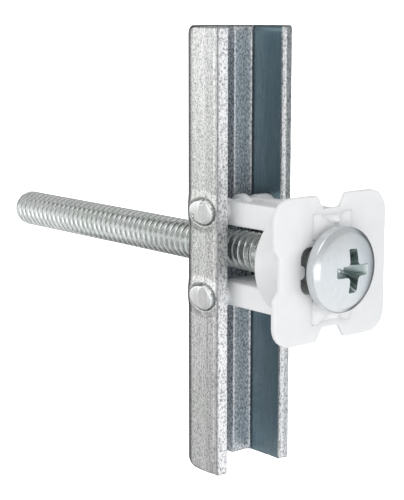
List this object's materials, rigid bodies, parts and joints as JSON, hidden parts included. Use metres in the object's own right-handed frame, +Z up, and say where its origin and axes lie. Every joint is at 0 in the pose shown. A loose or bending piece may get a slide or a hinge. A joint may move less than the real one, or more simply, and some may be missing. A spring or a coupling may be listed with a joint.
{
  "type": "strap toggle anchor",
  "caption": "Hollow-wall anchor: a folded steel toggle channel on two plastic strap legs, a collar cap that seats in the wall hole and a pan head machine screw.",
  "frame": {"origin": "on the screw's axis, in the plane of the wall's face, where the collar cap's plate seats against the wall", "axes": "+Y along the screw into the wall, towards its tip; +Z up along the toggle channel; +X to the right as seen facing the screw's head"},
  "size_m": [0.0168, 0.0645, 0.052],
  "materials": {
    "zinc_sheet": "zinc plated sheet, bright with fine rolling marks",
    "zinc_screw": "zinc plated, smooth head and bright thread",
    "natural_plastic": "natural white, slightly translucent, stress-white where snapped"
  },
  "bodies": {
    "cap": {"collar_cap": "natural_plastic"},
    "toggle": {"toggle_channel": "zinc_sheet", "upper_strap_leg": "natural_plastic", "lower_strap_leg": "natural_plastic"},
    "screw": {"machine_screw": "zinc_screw"}
  },
  "joints": [
    {"name": "ratchet_slide", "type": "slide", "parent": "cap", "child": "toggle", "axis": [0, -1, 0], "range_m": [0, 0.0064]},
    {"name": "screw_travel", "type": "slide", "parent": "toggle", "child": "screw", "axis": [0, -1, 0], "range_m": [0, 0.04022]}
  ]
}
